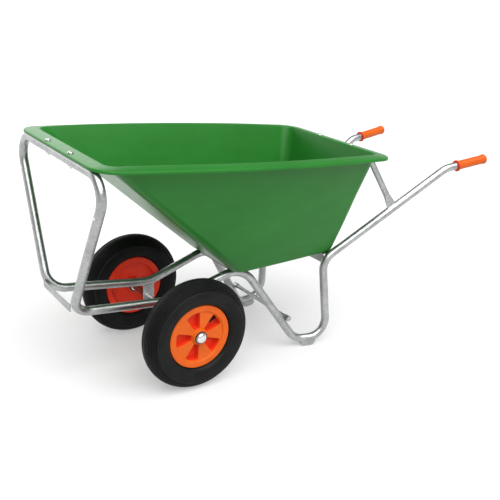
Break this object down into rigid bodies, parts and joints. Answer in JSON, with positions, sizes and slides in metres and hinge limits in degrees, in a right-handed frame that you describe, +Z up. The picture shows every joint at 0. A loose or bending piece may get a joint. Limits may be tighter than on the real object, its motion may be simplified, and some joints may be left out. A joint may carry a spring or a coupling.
{
  "type": "wheelbarrow",
  "caption": "Wheelbarrow with a deep moulded plastic tray on a bent galvanised tube frame, pneumatic wheels on a fixed axle and plastic hand grips.",
  "frame": {"origin": "on the ground under the middle of the whole wheelbarrow", "axes": "+X from the front of the tray towards the handles, +Y to the user's right, +Z up"},
  "size_m": [1.7724, 0.766, 0.8615],
  "materials": {
    "tray_plastic": "satin moulded polypropylene",
    "galvanised_steel": "hot-dip galvanised",
    "zinc_plate": "bright zinc plate",
    "orange_plastic": "satin moulded plastic",
    "rubber": "moulded rubber",
    "black_nylon": "matt moulded nylon"
  },
  "bodies": {
    "frame": {"tray": "tray_plastic", "front_hoop": "galvanised_steel", "front_cross_plate": "galvanised_steel", "rear_cross_plate": "galvanised_steel", "front_bar": "galvanised_steel", "leg_tie": "galvanised_steel", "rear_stay": "galvanised_steel", "axle": "zinc_plate", "left_tie_collar": "galvanised_steel", "left_rail": "galvanised_steel", "left_leg": "galvanised_steel", "left_handle": "galvanised_steel", "left_foot_shoe": "galvanised_steel", "left_axle_bracket": "galvanised_steel", "left_grip": "orange_plastic", "left_axle_spacer": "galvanised_steel", "left_axle_washer": "zinc_plate", "left_hub_cap": "zinc_plate", "left_front_rim_bolt": "zinc_plate", "left_front_rim_nut": "zinc_plate", "left_rear_rim_bolt": "zinc_plate", "left_rear_rim_nut": "zinc_plate", "left_front_floor_bolt": "zinc_plate", "left_front_floor_nut": "zinc_plate", "left_rear_floor_bolt": "zinc_plate", "left_rear_floor_nut": "zinc_plate", "right_tie_collar": "galvanised_steel", "right_rail": "galvanised_steel", "right_leg": "galvanised_steel", "right_handle": "galvanised_steel", "right_foot_shoe": "galvanised_steel", "right_axle_bracket": "galvanised_steel", "right_grip": "orange_plastic", "right_axle_spacer": "galvanised_steel", "right_axle_washer": "zinc_plate", "right_hub_cap": "zinc_plate", "right_front_rim_bolt": "zinc_plate", "right_front_rim_nut": "zinc_plate", "right_rear_rim_bolt": "zinc_plate", "right_rear_rim_nut": "zinc_plate", "right_front_floor_bolt": "zinc_plate", "right_front_floor_nut": "zinc_plate", "right_rear_floor_bolt": "zinc_plate", "right_rear_floor_nut": "zinc_plate"},
    "left_wheel": {"left_tyre": "rubber", "left_inner_tube": "rubber", "left_wheel_rim": "orange_plastic", "left_valve_stem": "rubber", "left_valve_cap": "black_nylon", "left_outer_bush": "black_nylon", "left_inner_bush": "black_nylon"},
    "right_wheel": {"right_tyre": "rubber", "right_inner_tube": "rubber", "right_wheel_rim": "orange_plastic", "right_valve_stem": "rubber", "right_valve_cap": "black_nylon", "right_outer_bush": "black_nylon", "right_inner_bush": "black_nylon"}
  },
  "joints": [
    {"name": "left_wheel_spin", "type": "hinge", "parent": "frame", "child": "left_wheel", "pos_m": [-0.47864, -0.2587, 0.204], "axis": [0, 1, 0], "continuous": true},
    {"name": "right_wheel_spin", "type": "hinge", "parent": "frame", "child": "right_wheel", "pos_m": [-0.47864, 0.2587, 0.204], "axis": [0, 1, 0], "continuous": true}
  ]
}
